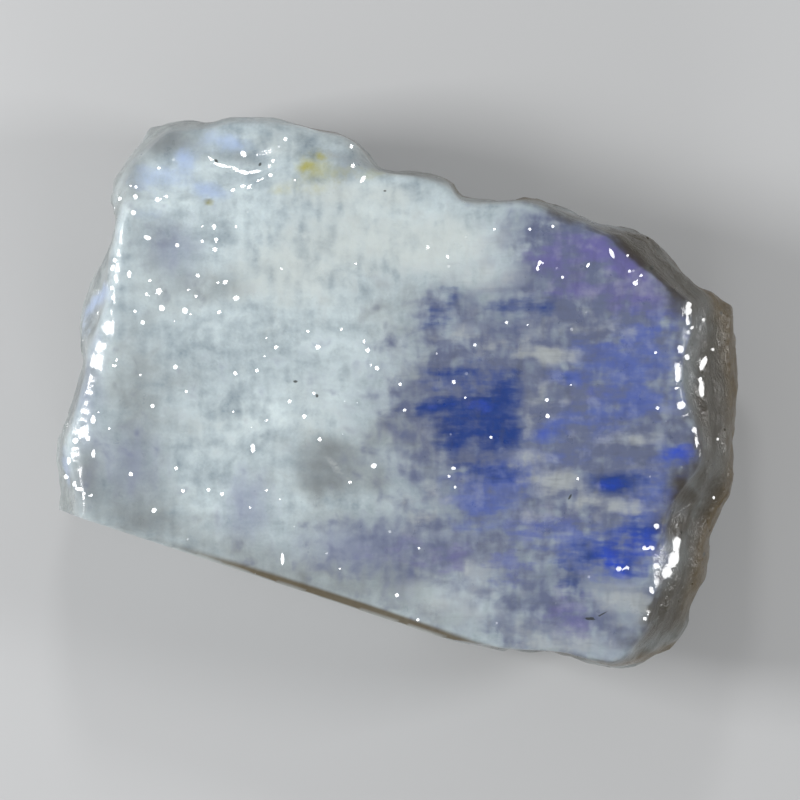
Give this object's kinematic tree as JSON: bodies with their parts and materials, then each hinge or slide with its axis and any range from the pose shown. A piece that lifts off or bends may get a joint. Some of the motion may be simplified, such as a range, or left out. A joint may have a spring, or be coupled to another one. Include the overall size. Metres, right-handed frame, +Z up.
{
  "type": "rough rainbow moonstone",
  "caption": "Small broken slab of milky rainbow moonstone with one large flat face, one sawn edge and stepped, chipped sides; lies flat as a mineral specimen.",
  "frame": {"origin": "on the resting face, under the middle of the stone's box", "axes": "+X along the sawn edge, the longest way, +Y away from the sawn edge, +Z up out of the large cleavage face"},
  "size_m": [0.015, 0.0098, 0.0042],
  "materials": {
    "feldspar": "milky translucent feldspar, wet-looking gloss, blue sheen in streaks"
  },
  "bodies": {
    "root": {"moonstone": "feldspar"}
  },
  "joints": []
}
